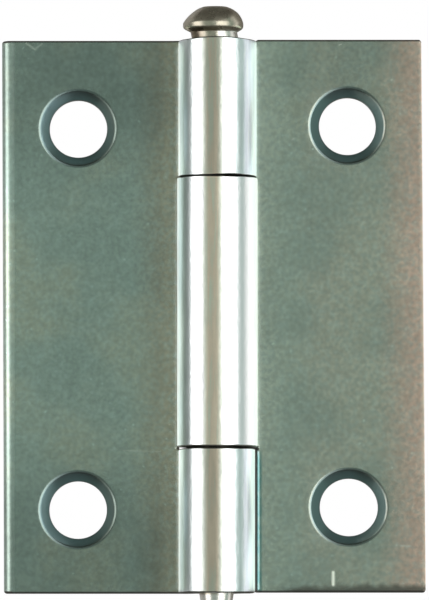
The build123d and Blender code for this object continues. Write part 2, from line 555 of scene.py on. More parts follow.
    def bevel(self, picks, width, segments):
        """Round the outward edges that are about square and that picks chooses."""
        square = [edge for edge in self.bm.edges if edge.is_convex and edge.calc_face_angle(0) > SQUARE]
        bmesh.ops.bevel(
            self.bm,
            geom=[edge for edge in square if picks(edge)],
            offset=width,
            offset_type="OFFSET",
            segments=segments,
            profile=0.5,
            affect="EDGES",
            clamp_overlap=True,
        )
        bmesh.ops.remove_doubles(self.bm, verts=self.bm.verts, dist=SAME)
        self.bm.normal_update()

    def mark_places(self):
        """Attributes that the rolling and the plating read, and the ends of the knuckles moved."""
        names = ("rolled", "rim", "ragged", "torn", "sunk", "shift", "loose", "lean")
        layers = {name: self.bm.verts.layers.float.new(name) for name in names}
        self.bm.normal_update()
        for vert in self.bm.verts:
            u = vert.co.x * self.side
            v = vert.co.z
            knuckle = min(range(len(self.spans)), key=lambda index: abs(sum(self.spans[index]) / 2 - v))
            from_end = min(abs(v - end) for end in self.spans[knuckle])
            shift, loose = self.fits[knuckle]
            values = {
                "rolled": max(0, -u) / self.tab,
                "rim": min(self.reach - u, self.top - v, v - self.bottom),
                "ragged": max(0, 1 - from_end / RAGGED_WIDTH) if u < self.notch - SAME else 0,
                "torn": self.torn_share(vert.normal, u, v),
                "sunk": self.sunk_share(u, v) if vert.co.y < barrel_radius - SAME else 0,
                "shift": shift,
                "loose": loose,
                "lean": max(0, 1 - (self.reach - u) / self.lean_width) * v / self.top,
            }
            vert.co.z += self.end_move(u, v) * values["ragged"]
            for name, value in values.items():
                vert[layers[name]] = value

    def torn_share(self, normal, u, v):
        """How torn the sheet is at a place, which also sets painted shade: on its edges, but not in the
        countersinks, and more on the knuckles but for the top joint.
        """
        if self.sunk_share(u, v) > 0:
            return 0
        on_outer_edge = u > self.reach - self.outer_round
        torn = abs(normal.z) if on_outer_edge else 1 - abs(normal.y)
        at_end = u < 0 and not 0 < v < self.top - MM
        return torn * PAINTED_SHADE_ENDS if at_end else torn

    def end_move(self, u, v):
        """How far a knuckle's end moves up.

        Burrs narrow the joints, which sit a little low, and the top knuckle's end falls away at its sides.
        """
        sizes = self.sizes
        if self.bottom + MM < v < self.top - MM:
            if v > 0:
                return self.side * sizes.top_burr - sizes.top_drop
            return -self.side * sizes.bottom_burr - sizes.bottom_drop
        if u < 0 < v:
            return -sizes.top_shoulder * math.sin(u / self.neutral) ** 2
        return 0

    def sunk_share(self, u, v):
        """How far a place lies inside the rim of a countersink: 0 on the flat and 1 on the cone."""
        outside = self.sizes.countersink_width / 2 + STAIN_AND_SHADE_MARGIN
        inside = max(outside - math.hypot(u - self.hole_u, v - height) for height in self.hole_heights)
        return min(1, max(0, inside / STAIN_AND_SHADE_FADE))


SEED_STEP = 0.37                # how far apart in the noise the leaves are taken, in metres
SWELL_SCALE = 130.0             # how close the waves of the sheet are
SWELL_STRETCH = (1.0, 1.0, 0.35)    # they are drawn out along the pin
SWELL_GAIN = 2.0                # noise of about one half either way, brought to the size given
RAGGED_SCALE = 420.0            # how close the steps of the sheared ends are
RAGGED_GAIN = 4.0               # and their gain, because this noise stays near its middle
ROLL_EASE = 1.2                 # turn over which a knuckle takes up its own fit, in radians
FLAT_START = 4 * MM             # the droop of the edges starts over this distance from the pin


def roll_tree():
    """Geometry nodes that roll a flat strip round the pin, with ragged ends and a little waviness."""
    sizes = ("Side", "Neutral Radius", "Front Depth", "Sheet", "Edge Droop", "Droop Width", "Edge Lean")
    wire, inputs, outputs = new_group(
        "Roll strip",
        "GeometryNodeTree",
        {"Geometry": ("Strip",), "Float": (*sizes, "Ragged", "Waviness", "Seed"), "Material": ("Plating",)},
        {"Geometry": ("Leaf",)},
    )
    position = wire.add("GeometryNodeInputPosition").outputs[0]
    x, y, z = wire.axes(position)
    apart = wire.point(wire.times(inputs["Seed"], SEED_STEP))
    shifted = wire.vector("ADD", position, apart)

    # The sheet is never quite true, and its front face sinks towards the outer edges
    drawn_out = wire.vector("MULTIPLY", shifted, SWELL_STRETCH)
    swell = wire.times(wire.minus(wire.noise(drawn_out, SWELL_SCALE), 0.5), inputs["Waviness"], SWELL_GAIN)
    inward = wire.math("DIVIDE", wire.field("rim"), inputs["Droop Width"])
    sink = wire.math("POWER", wire.math("MAXIMUM", wire.minus(1.0, inward), 0.0), 2.0)
    in_sheet = wire.math("DIVIDE", wire.minus(y, inputs["Front Depth"]), inputs["Sheet"])
    along = wire.times(x, inputs["Side"])
    on_flat = wire.ramp(along, 0.0, FLAT_START)
    sink = wire.times(sink, wire.minus(1.0, in_sheet), inputs["Edge Droop"], on_flat)

    # The tabs roll round the pin, each with its own fit
    flat = wire.math("MAXIMUM", along, 0.0)
    behind = wire.math("MAXIMUM", wire.times(along, -1.0), 0.0)
    turn = wire.math("DIVIDE", behind, inputs["Neutral Radius"])
    eased = wire.ramp(turn, 0.0, ROLL_EASE)
    depth = wire.plus(y, swell, sink, wire.times(eased, wire.field("loose"), in_sheet))
    across = wire.minus(flat, wire.times(depth, wire.math("SINE", turn)))
    across = wire.plus(wire.times(across, inputs["Side"]), wire.times(eased, wire.field("shift")))

    # The outer edges lean over a little from top to bottom
    across = wire.minus(across, wire.times(inputs["Edge Lean"], wire.field("lean")))

    # The sheared ends of the tabs wander up and down
    wander = wire.minus(wire.noise(shifted, RAGGED_SCALE, detail=3.0), 0.5)
    height = wire.plus(z, wire.times(wander, wire.field("ragged"), inputs["Ragged"], RAGGED_GAIN))

    place = wire.point(across, wire.times(depth, wire.math("COSINE", turn)), height)
    moved = wire.add("GeometryNodeSetPosition", {"Geometry": inputs["Strip"], "Position": place})
    real = wire.add("GeometryNodeRealizeInstances", {"Geometry": moved.outputs[0]})
    sources = {"Geometry": real.outputs[0], "Material": inputs["Plating"]}
    wire.feed(outputs["Leaf"], wire.add("GeometryNodeSetMaterial", sources).outputs[0])
    return wire.tree


def new_piece(name, data):
    """An object at the origin, in the scene's own collection."""
    piece = bpy.data.objects.new(name, data)
    bpy.context.scene.collection.objects.link(piece)
    return piece


def settle(piece):
    """Turn a piece's modifiers into plain mesh and take them off."""
    depsgraph = bpy.context.evaluated_depsgraph_get()
    rolled = bpy.data.meshes.new_from_object(
        piece.evaluated_get(depsgraph), preserve_all_data_layers=True, depsgraph=depsgraph
    )
    piece.modifiers.clear()
    piece.data = rolled


def shade(mesh, sharp_angle):
    """Smooth shading with creases where faces meet at more than an angle."""
    mesh.shade_smooth()
    mesh.set_sharp_from_angle(angle=math.radians(sharp_angle))


def dress(piece, node, body):
    """Let a finished piece stand for its CAD node."""
    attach(piece, body)
    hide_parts(node)


class HINGE_OT_leaves(bpy.types.Operator):
    """Stamp, roll and plate the two leaves"""

    bl_idname = "hinge.leaves"
    bl_label = "Leaves"

    def execute(self, context):
        sizes = context.scene.hinge_leaf
        plating = plating_material(context.scene.hinge_finish)
        tree = roll_tree()
        sockets = {item.name: item.identifier for item in tree.interface.items_tree}
        for seed, (node, side) in enumerate(LEAVES):
            blank = Blank(node, side, sizes)
            leaf = new_piece(node + "_plated", blank.build())
            roll = leaf.modifiers.new("Roll", "NODES")
            roll.node_group = tree
            settings = {
                "Side": float(side),
                "Neutral Radius": blank.neutral,
                "Front Depth": bore_radius,
                "Sheet": barrel_radius - bore_radius,
                "Edge Droop": sizes.edge_droop,
                "Droop Width": sizes.droop_width,
                "Edge Lean": blank.lean,
                "Ragged": sizes.ragged,
                "Waviness": sizes.waviness,
                "Seed": float(seed),
                "Plating": plating,
            }
            for name, value in settings.items():
                roll[sockets[name]] = value
            settle(leaf)
            shade(leaf.data, sharp_angle=25)
            dress(leaf, node, node)
        return {"FINISHED"}


# The pin

SHANK_STEP = 2 * MM             # spacing of the rings along the pin's shank
SHANK_LEAD = 0.1 * MM           # and from the start of its taper to the first of them
COLLAR_ROUND = 0.1 * MM         # rounding at the top of the collar
COLLAR_SHARE = 0.4              # how far off the axis the collar's foot is, as a share of the head
LEAN_RISE = 1.5                 # the flank has its full lean below the top, by this factor
TOP_RINGS = (0.5, 0.15)         # rings on the flat top, as shares of its radius


def arc(centre, radius, start, end, steps):
    """Points along an arc, from one angle to another."""
    return [
        (
            centre[0] + radius * math.cos(start + (end - start) * step / steps),
            centre[1] + radius * math.sin(start + (end - start) * step / steps),
        )
        for step in range(steps + 1)
    ]


def pin_profile(sizes):
    """Radius, height and sideways offset of each ring of the pin, from its tail to the top of its head."""
    seat = leaf_high.z
    shank = shank_radius()
    taper_top = leaf_low.z + sizes.taper_start
    tail = pin_low.z
    tail_radius = shank - (taper_top - tail) * math.tan(sizes.taper)
    rounding = sizes.tail_round
    lead = rounding * math.tan((math.pi / 2 - sizes.taper) / 2)
    tail_arc = arc((tail_radius - lead, tail + rounding), rounding, -math.pi / 2, -sizes.taper, steps=8)
    rings = [(radius, height, 0) for radius, height in tail_arc]
    rings.append((shank, taper_top, 0))
    rings += [(shank, height, 0) for height in spaced(taper_top + SHANK_LEAD, seat - MM, SHANK_STEP)]
    rings.append((shank, seat, 0))
    return rings + head_rings(sizes, seat, shank)


def shank_radius():
    """The pin's radius along its straight shank."""
    corners = frame["nodes"]["hinge_pin"].data.vertices
    straight = [corner.co for corner in corners if leaf_low.z < corner.co.z < 0]
    return max(math.hypot(point.x, point.y) for point in straight)


def head_rings(sizes, seat, shank):
    """Rings of the head: collar, underside, rounded belt, leaning flank and flat top."""
    offset = (pin_high.x + pin_low.x) / 2
    head_radius = (pin_high.x - pin_low.x) / 2
    collar = shank + abs(offset) + sizes.seat_lip
    height = pin_high.z - seat
    flat = sizes.top_flat / 2
    belt_top = sizes.belt_height + sizes.belt_width
    collar_low = Vector((collar, 0))
    collar_high = Vector((collar, sizes.collar_height))
    belt_low = Vector((head_radius, sizes.belt_height))
    belt_high = Vector((head_radius, belt_top))
    top_edge = Vector((flat, height))
    top_middle = Vector((0, height))
    flank = bulged(belt_high, top_edge, sizes.flank_radius, steps=24)
    points = [collar_low, *rounded(collar_low, collar_high, belt_low, COLLAR_ROUND, steps=4)]
    points += rounded(collar_high, belt_low, belt_high, sizes.belt_round, steps=8)
    points += rounded(belt_low, belt_high, flank[2], sizes.belt_round, steps=4)
    points += flank[3:-4]
    points += rounded(flank[-5], top_edge, top_middle, sizes.top_round, steps=6)
    points += [Vector((flat * inward, height)) for inward in TOP_RINGS]
    rings = []
    for point in points:
        rise = max(0, (point.y - belt_top) / (height - belt_top))
        lean = sizes.flank_lean * min(1, LEAN_RISE * rise)
        off_axis = min(1, COLLAR_SHARE + (1 - COLLAR_SHARE) * point.y / sizes.belt_height)
        rings.append((point.x, seat + point.y, offset * off_axis + lean))
    return rings


def bulged(start, end, radius, steps):
    """Points from start to end along an arc that bulges outwards, both ends included."""
    chord = end - start
    middle = (start + end) / 2
    out = Vector((chord.y, -chord.x)).normalized()
    centre = middle - out * math.sqrt(radius ** 2 - (chord.length / 2) ** 2)
    first = math.atan2(*reversed(start - centre))
    last = math.atan2(*reversed(end - centre))
    return [Vector(point) for point in arc(centre, radius, first, last, steps)]


def rounded(before, corner, after, radius, steps):
    """Points along the rounding of a corner between two straight runs."""
    back = (before - corner).normalized()
    ahead = (after - corner).normalized()
    half = back.angle(ahead) / 2
    lead = radius / math.tan(half)
    centre = corner + (back + ahead).normalized() * radius / math.sin(half)
    start = corner + back * lead - centre
    end = corner + ahead * lead - centre
    sweep = end.angle_signed(start)
    first = math.atan2(start.y, start.x)
    return [Vector(point) for point in arc(centre, radius, first, first + sweep, steps)]


def lathe(rings, segments):
    """A closed mesh through rings of points round the Z axis."""
    bm = bmesh.new()
    turns = [2 * math.pi * index / segments for index in range(segments)]
    loops = [
        [bm.verts.new((offset + radius * math.cos(turn), radius * math.sin(turn), height)) for turn in turns]
        for radius, height, offset in rings
    ]
    join_rings(bm, loops)
    bm.faces.new(loops[0])
    bm.faces.new(loops[-1])
    bmesh.ops.recalc_face_normals(bm, faces=bm.faces)
    mesh = bpy.data.meshes.new("turned")
    bm.to_mesh(mesh)
    bm.free()
    return mesh


class HINGE_OT_pin(bpy.types.Operator):
    """Turn the loose pin, with its upset head and tapered tail"""

    bl_idname = "hinge.pin"
    bl_label = "Pin"

    def execute(self, context):
        mesh = lathe(pin_profile(context.scene.hinge_pin), segments=96)
        mesh.materials.append(pin_material(context.scene.hinge_finish))
        shade(mesh, sharp_angle=40)
        pin = new_piece("hinge_pin_turned", mesh)
        dress(pin, "hinge_pin", "pin")
        return {"FINISHED"}


# Materials

# Scuffs on the front of the leaves: start and end, across and up, width and strength, in millimetres
SCUFFS = (
    ((10.53, -23.1), (10.53, -24.2), 0.25, 1.0),
    ((16.6, -20.7), (17.5, -20.72), 0.14, 0.22),
    ((16.7, -9.2), (16.8, -9.5), 0.10, 0.25),
    ((11.1, 24.6), (11.3, 24.7), 0.10, 0.3),
    ((6.8, 16.0), (7.0, 16.1), 0.10, 0.25),
    ((-8.4, -12.1), (-5.1, -12.2), 0.09, 0.12),
    ((-17.2, 24.75), (-16.4, 24.2), 0.16, 0.22),
    ((-16.4, 24.25), (-15.8, 24.7), 0.16, 0.16),
    ((-3.7, -11.9), (-3.65, -11.85), 0.14, 0.8),
)

# Places on the leaves, each bounded by smooth steps along an axis, in millimetres
PLACES = {
    "front": (("y", 2.8, 2.4),),
    "right leaf": (("x", 5.0, 10.0),),
    "by left knuckles": (("x", -8.0, -3.8), ("x", 0.0, -1.0)),
    "by right knuckle": (("x", 0.0, 1.0), ("x", 9.0, 3.8)),
    "left root": (("x", -5.5, -4.0), ("x", 0.0, -1.0)),
    "left margin": (("x", -13.0, -18.0),),
    "right margin": (("x", 14.0, 18.2),),
    "shaded left ends": (("off middle", 9.0, 21.0), ("x", 0.0, -6.0)),
    "right top": (("z", 12.0, 22.0), ("x", 4.0, 8.0)),
    "left rounding": (("x", -18.1, -18.5),),
    "left edge": (("x", -18.3, -18.7),),
    "right edge": (("x", 17.0, 18.0),),
    "slot": (("x", 4.2, 4.0), ("x", 3.5, 3.6), ("z", -12.0, -12.3)),
    "right foot band": (("x", 4.5, 7.5),),
    "raised right foot band": (("x", 13.0, 5.0),),
}
# How much lighter or darker the flats are in some of these places; the darker ends of the left leaf are
# painted shade
FLAT_LEVELS = (("shaded left ends", -0.28), ("left margin", 0.08), ("right top", -0.1), ("left root", 0.2))
LEFT_EDGE_HIGHLIGHT = 0.36          # painted highlight: how much lighter the left leaf's rounded edge is
RIGHT_EDGE_HIGHLIGHT = 0.4          # and the brink of the right leaf's edge, a painted highlight too
BRINK = 0.4 * MM                # width of that brink
FOOT_RISE = 0.2                 # how much higher the dark band along the right foot is near the knuckle
FOOT_DARK_BAND = (-23.95, -24.6)     # heights between which that dark band begins, in millimetres
FOOT_DARKNESS = 0.85            # how dark it is
BARREL_GLINT = -0.35            # middle of the knuckles' front glint, across and in millimetres
MIDDLE_KNUCKLE = 0.35           # middle height of the middle knuckle
MIDDLE_ENDS = (12.4, 12.1)      # its ends, up or down from there
STREAK_SCALE = 2.2              # how close the streaks of the knuckles are
STREAK_STRETCH = (1.0, 1.0, 0.09)   # they are drawn out along the pin
SUNK_ROUGHER = 0.06             # added to the roughness in the countersinks
LEFT_EDGE_ROUGHER = 0.16        # and on the left leaf's rounded edge
PLATING_BUMP = 0.02 * MM        # unevenness of the plating
PIN_BUMP = 0.006 * MM           # and of the pin


def mottle_group():
    """Shader group, built once: slow patches, small clouds, fine grain and specks of a metal surface."""
    name = "Metal mottle"
    if name in bpy.data.node_groups:
        return bpy.data.node_groups[name]
    wire, inputs, outputs = new_group(
        name,
        "ShaderNodeTree",
        {"Vector": ("Position",), "Float": ("Patch Scale", "Cloud Scale", "Grain Scale")},
        {"Float": ("Patch", "Cloud", "Grain", "Speck")},
    )
    position = inputs["Position"]
    apart = wire.vector("ADD", position, (31, 7, 13))
    wire.feed(outputs["Patch"], wire.noise(position, inputs["Patch Scale"]))
    wire.feed(outputs["Cloud"], wire.noise(apart, inputs["Cloud Scale"]))
    wire.feed(outputs["Grain"], wire.noise(position, inputs["Grain Scale"], roughness=0.6))
    wire.feed(outputs["Speck"], wire.noise(apart, inputs["Grain Scale"], detail=1.0))
    return wire.tree


def scuff_group():
    """Shader group: one straight scuff on the front, as a mask with soft ends."""
    wire, inputs, outputs = new_group(
        "Scuff",
        "ShaderNodeTree",
        {"Vector": ("Position", "Start", "End"), "Float": ("Width",)},
        {"Float": ("Mask",)},
    )
    flat = wire.vector("MULTIPLY", inputs["Position"], (1, 0, 1))
    run = wire.vector("SUBTRACT", inputs["End"], inputs["Start"])
    way = wire.vector("SUBTRACT", flat, inputs["Start"])
    along = wire.math("DIVIDE", wire.vector("DOT_PRODUCT", way, run), wire.vector("DOT_PRODUCT", run, run))
    along = wire.math("MINIMUM", wire.math("MAXIMUM", along, 0.0), 1.0)
    gap = wire.vector("LENGTH", wire.vector("SUBTRACT", way, wire.scaled(run, along)))
    wire.feed(outputs["Mask"], wire.ramp(wire.math("DIVIDE", gap, inputs["Width"]), 1.0, 0.1))
    return wire.tree


def new_metal(name, patch_scale, cloud_scale, grain_scale):
    """A metal material: itself, its wiring, its sockets, a position in millimetres and its mottle."""
    material = bpy.data.materials.new(name)
    material.use_nodes = True
    wire = Wiring(material.node_tree)
    metal = material.node_tree.nodes["Principled BSDF"].inputs
    wire.feed(metal["Metallic"], 1.0)
    metres = wire.add("ShaderNodeTexCoord").outputs["Object"]
    position = wire.add("ShaderNodeMapping", {"Vector": metres, "Scale": (1 / MM, 1 / MM, 1 / MM)}).outputs[0]
    scales = {"Patch Scale": patch_scale, "Cloud Scale": cloud_scale, "Grain Scale": grain_scale}
    mottle = wire.add("ShaderNodeGroup", {"Position": position, **scales}, node_tree=mottle_group()).outputs
    return material, wire, metal, position, mottle


def roughen(wire, metal, height, distance):
    """Let a height show as a fine unevenness of a metal."""
    bump = wire.add("ShaderNodeBump", {"Distance": distance, "Height": height})
    wire.feed(metal["Normal"], bump.outputs[0])


def place_mask(wire, axes, name):
    """A mask that is 1 in one of the places on the leaves and 0 away from it."""
    return wire.times(*(wire.ramp(axes[axis], low, high) for axis, low, high in PLACES[name]))


def flat_tint(wire, finish, mottle, axes):
    """Passivated zinc on the flats: green, with bronze and slate patches and its own tint by each edge."""
    patch = mottle["Patch"]
    tint = wire.blend(wire.ramp(patch, 0.4, 0.7, 0.0, 0.8), finish.sea_green, finish.bronze)
    olive = wire.times(place_mask(wire, axes, "right leaf"), wire.ramp(patch, 0.3, 0.6, 0.5, 1.0))
    tint = wire.blend(olive, tint, finish.olive)
    tint = wire.blend(place_mask(wire, axes, "by left knuckles"), tint, finish.umber)
    tint = wire.blend(place_mask(wire, axes, "by right knuckle"), tint, finish.teal)
    tint = wire.blend(place_mask(wire, axes, "right margin"), tint, finish.rose)
    cloudy = wire.plus(mottle["Speck"], wire.times(mottle["Cloud"], 0.6))
    tint = wire.blend(wire.ramp(cloudy, 0.65, 1.0, 0.0, 0.35), tint, finish.slate)
    level = wire.ramp(patch, 0.35, 0.65, 0.95, 1.05)
    for name, lighter in FLAT_LEVELS:
        level = wire.plus(level, wire.times(place_mask(wire, axes, name), lighter))
    return wire.scaled(tint, level)


def barrel_tint(wire, finish, position, axes):
    """Bright zinc on the knuckles: warm and streaky over the front, with painted reflection colour down the
    sides and painted light and shade on the middle knuckle.
    """
    streaks = wire.noise(wire.vector("MULTIPLY", position, STREAK_STRETCH), STREAK_SCALE)
    off_front = wire.math("ABSOLUTE", wire.minus(axes["x"], BARREL_GLINT))
    warm = wire.times(wire.ramp(streaks, 0.3, 0.55), wire.ramp(off_front, 0.8, 0.3))
    tint = wire.blend(warm, finish.bright, finish.taupe)
    # Painted reflection colour: cooler down the knuckles' sides and icier at their outer sides
    tint = wire.blend(wire.ramp(off_front, 0.4, 1.3), tint, finish.side_reflection_tint)
    tint = wire.blend(wire.ramp(off_front, 2.6, 3.0), tint, finish.outer_reflection_tint)
    # Painted highlight over the middle knuckle's front and right, and painted shade down its left
    off_middle = wire.math("ABSOLUTE", wire.minus(axes["z"], MIDDLE_KNUCKLE))
    middle_painted_light = wire.ramp(axes["x"], -2.1, -2.6, 0.26, -0.16)
    middle_painted_light = wire.times(wire.ramp(off_middle, *MIDDLE_ENDS), middle_painted_light)
    return wire.scaled(tint, wire.plus(wire.ramp(streaks, 0.3, 0.7, 0.88, 1.08), middle_painted_light))


def stain_and_painted_light_share(wire, sunk, facing):
    """How much stain lies in a countersink: less on its right rim, a painted highlight, and painted shade
    above and below its left.
    """
    across, inwards, upwards = facing
    on_rim = wire.times(wire.ramp(inwards, -0.94, -0.92), wire.ramp(inwards, -0.74, -0.78))
    # Painted highlight: less stain on the rim where it faces left, on the hole's right
    painted_highlight = wire.times(on_rim, wire.ramp(across, -0.2, -0.35, 0.0, 0.4))
    # Painted shade where the rim turns up or down, above and below the hole
    upright = wire.ramp(wire.math("ABSOLUTE", upwards), 0.06, 0.2, 0.0, 0.85)
    upright = wire.times(upright, wire.ramp(sunk, 0.0, 0.15))
    return wire.math("MAXIMUM", wire.times(sunk, wire.minus(1.0, painted_highlight)), upright)


def scuff_mask(wire, position, axes):
    """All the scuffs on the front, as one mask."""
    scuffs = scuff_group()
    mask = 0.0
    for start, end, width, strength in SCUFFS:
        ends = {"Start": (start[0], 0, start[1]), "End": (end[0], 0, end[1])}
        sources = {"Position": position, "Width": width, **ends}
        one = wire.add("ShaderNodeGroup", sources, node_tree=scuffs).outputs["Mask"]
        mask = wire.math("MAXIMUM", mask, wire.times(one, strength))
    return wire.times(mask, place_mask(wire, axes, "front"))


def plating_material(finish):
    """Zinc plating: passivated satin flats, bright knuckles, torn edges, stained countersinks and scuffs,
    with painted light and shade.
    """
    material, wire, metal, position, mottle = new_metal(
        "zinc_plating", patch_scale=0.14, cloud_scale=0.8, grain_scale=2.4
    )
    x, y, z = wire.axes(position)
    axes = {"x": x, "y": y, "z": z, "off middle": wire.math("ABSOLUTE", z)}
    on_barrel = wire.ramp(wire.stored("rolled"), 0.02, 0.10)
    torn = wire.ramp(wire.stored("torn"), 0.06, 0.4)
    sunk = wire.ramp(wire.stored("sunk"), 0.0, 1.0)

    # The plating itself, with its grain
    flat = flat_tint(wire, finish, mottle, axes)
    tint = wire.blend(on_barrel, flat, barrel_tint(wire, finish, position, axes))
    grain = wire.plus(
        wire.ramp(mottle["Grain"], 0.25, 0.75, -0.10, 0.10),
        wire.ramp(mottle["Cloud"], 0.3, 0.7, -0.04, 0.04),
        wire.ramp(mottle["Speck"], 0.7, 0.8, 0.0, 0.35),
    )
    grain = wire.times(grain, wire.ramp(on_barrel, 0.0, 1.0, 1.0, 0.12))
    tint = wire.scaled(tint, wire.plus(1.0, grain))

    # Painted highlights on the long edges, and stain with painted shade in the slot
    brink = wire.times(wire.ramp(wire.stored("rim"), BRINK, 0.0), place_mask(wire, axes, "right edge"))
    tint = wire.scaled(tint, wire.plus(1.0, wire.times(brink, RIGHT_EDGE_HIGHLIGHT)))
    left_edge_highlight = wire.times(place_mask(wire, axes, "left edge"), LEFT_EDGE_HIGHLIGHT)
    tint = wire.scaled(tint, wire.plus(1.0, left_edge_highlight))
    # Green stain on the rounding beside the bottom knuckle, also painted shade in that crevice
    blotchy = wire.ramp(mottle["Cloud"], 0.35, 0.6, 0.5, 1.0)
    in_slot = wire.times(place_mask(wire, axes, "slot"), blotchy, wire.minus(1.0, on_barrel))
    tint = wire.blend(in_slot, tint, finish.slot)

    # The countersinks, with stain and painted shade, the torn edges, with painted shade at the knuckle ends,
    # the dark band along the right foot, and the scuffs
    facing = wire.axes(wire.add("ShaderNodeTexCoord").outputs["Normal"])
    # Painted shade on the side of each countersink that faces left; the rest is stain, also darkened as
    # painted shade in the recess
    stain_and_shade = wire.blend(wire.ramp(facing[0], -0.4, 0.5), finish.left_facing_shade, finish.sunk)
    tint = wire.blend(stain_and_painted_light_share(wire, sunk, facing), tint, stain_and_shade)
    # A ragged dark band along the bottom edge of the right leaf, in the torn colour
    uneven = wire.ramp(mottle["Cloud"], 0.3, 0.7, -0.14, 0.14)
    rise = wire.times(place_mask(wire, axes, "raised right foot band"), FOOT_RISE)
    foot = wire.ramp(wire.plus(z, uneven, rise), *FOOT_DARK_BAND)
    burr = wire.times(foot, place_mask(wire, axes, "right foot band"), FOOT_DARKNESS)
    # The torn colour: bare steel on the edges, and painted shade at the knuckle ends in the joints
    tint = wire.blend(wire.math("MAXIMUM", torn, burr), tint, finish.torn)
    mask = scuff_mask(wire, position, axes)
    wire.feed(metal["Base Color"], wire.blend(mask, tint, finish.scuffed))
    wire.feed(metal["Metallic"], wire.minus(1.0, mask))

    # How rough it is
    flank = wire.ramp(x, 2.4, 3.0, finish.barrel_roughness, finish.flank_roughness)
    satin = wire.plus(
        wire.ramp(on_barrel, 0.0, 1.0, finish.flat_roughness, flank),
        wire.times(sunk, SUNK_ROUGHER),
        wire.times(place_mask(wire, axes, "left rounding"), LEFT_EDGE_ROUGHER),
    )
    wire.feed(metal["Roughness"], wire.ramp(torn, 0.0, 1.0, satin, finish.torn_roughness))
    grain_height = wire.ramp(on_barrel, 0.0, 1.0, 0.2, 1.0)
    roughen(wire, metal, wire.times(mottle["Grain"], grain_height), PLATING_BUMP)
    return material


def pin_material(finish):
    """Drawn steel of the pin: stained brown in patches on its head, painted shade on the left of its
    underside, painted highlights on the collar's right and the tail, and dark grease inside the knuckles that
    is also painted shade.
    """
    material, wire, metal, position, mottle = new_metal(
        "pin_steel", patch_scale=0.6, cloud_scale=1.8, grain_scale=3.5
    )
    x, _, z = wire.axes(position)
    above_seat = wire.minus(z, leaf_high.z / MM)
    above_foot = wire.minus(z, leaf_low.z / MM)
    # Painted shade in the stain's brown on the left of the collar and the head's underside; the random
    # patches are stain
    painted_shade_on_left = wire.times(wire.ramp(x, -1.0, -2.0), wire.ramp(above_seat, 1.1, 0.7, 0.0, 0.8))
    stain = wire.math("MAXIMUM", painted_shade_on_left, wire.ramp(mottle["Patch"], 0.5, 0.75, 0.0, 0.4))
    tint = wire.blend(stain, finish.pin_steel, finish.pin_stain_and_shade)
    # Painted highlight on the collar's right and on the tail
    on_collar = wire.times(wire.ramp(x, -0.1, 0.3), wire.ramp(above_seat, 0.75, 0.6))
    painted_highlight = wire.math("MAXIMUM", on_collar, wire.ramp(above_foot, 0.0, -0.3))
    tint = wire.blend(painted_highlight, tint, finish.pin_painted_highlight)
    # Dark grease on the pin inside the knuckles, also painted shade where the joints show it
    inside = wire.times(wire.ramp(above_seat, 0.15, -0.05), wire.ramp(above_foot, -0.2, 0.3))
    tint = wire.blend(inside, tint, finish.grease)
    tint = wire.scaled(tint, wire.ramp(mottle["Grain"], 0.3, 0.7, 0.93, 1.07))
    wire.feed(metal["Base Color"], tint)
    roughness = wire.plus(wire.ramp(mottle["Cloud"], 0.3, 0.7, -0.03, 0.06), finish.pin_roughness)
    wire.feed(metal["Roughness"], roughness)
    roughen(wire, metal, mottle["Grain"], PIN_BUMP)
    return material


# The studio

NEUTRAL = (1.0, 1.0, 1.0)
ROSY = (1.0, 0.95, 0.96)
PALE = (2.6, 2.7, 3.0)
DIM = (0.4, 0.4, 0.36)
FLOOR_WHITE = (0.86, 0.86, 0.85)
FLOOR_ROUGHNESS = 0.9
FLOOR_RADIUS = 1.2
FLOOR_FADE = (0.12, 0.7)        # distances from the middle between which the floor fades out
ROUND = (-180, 180)             # all the way round, in degrees
BAND = (-45, 45)                # elevations of the panels that stand round the hinge
FAR = 2.4                       # distance of the panels, but for one close by
NEAR = 0.5
FLAG_STEP = 5                   # degrees between the corners of a panel
FLAGS = (
    # name, azimuth from and to, elevation from and to, distance, glow in a mirror and in its mirror image
    ("front_flag", (-45, 13), BAND, FAR, (0.330, 0.389, 0.361), PALE),
    ("left_flag", (-104, -81), BAND, FAR, (0.10, 0.12, 0.11), DIM),
    ("far_left_flag", (-165, -104), BAND, FAR, (0.46, 0.45, 0.45), DIM),
    ("left_screen", (-95, -58), BAND, NEAR, None, DIM),
    ("right_flag", (58, 88), BAND, FAR, (0.27, 0.37, 0.335), PALE),
    ("back_flag", (112, 195), BAND, FAR, (0.24, 0.23, 0.21), NEUTRAL),
    ("top_flag", ROUND, (45, 89), FAR, (0.12, 0.12, 0.11), NEUTRAL),
    ("bottom_flag", ROUND, (-89, -45), FAR, (0.15, 0.15, 0.15), NEUTRAL),
)
SOFTBOX_DISTANCE = 0.6
SOFTBOXES = (
    # name, azimuth, half its angle across and up, tint
    ("left_softbox", -63, 17.8, 25, ROSY),
    ("right_softbox", 35.5, 22, 25, NEUTRAL),
)


def studio_point(azimuth, elevation, distance):
    """A point round the hinge: azimuth 0 is in front and 90 to the right, in degrees."""
    a = math.radians(azimuth)
    e = math.radians(elevation)
    return Vector((math.sin(a) * math.cos(e), -math.cos(a) * math.cos(e), math.sin(e))) * distance


def glow_material(name, once, twice):
    """A plain glow in a mirror, or clear if that is None, and another glow in a mirror's mirror image."""
    material = bpy.data.materials.new(name)
    material.use_nodes = True
    material.node_tree.nodes.clear()
    wire = Wiring(material.node_tree)
    if once is None:
        first = wire.add("ShaderNodeBsdfTransparent").outputs[0]
    else:
        first = wire.add("ShaderNodeEmission", {"Color": once}).outputs[0]
    second = wire.add("ShaderNodeEmission", {"Color": twice}).outputs[0]
    depth = wire.add("ShaderNodeLightPath").outputs["Ray Depth"]
    mixed = wire.mixed(wire.math("GREATER_THAN", depth, 1.5), first, second)
    wire.add("ShaderNodeOutputMaterial", {"Surface": mixed})
    return material


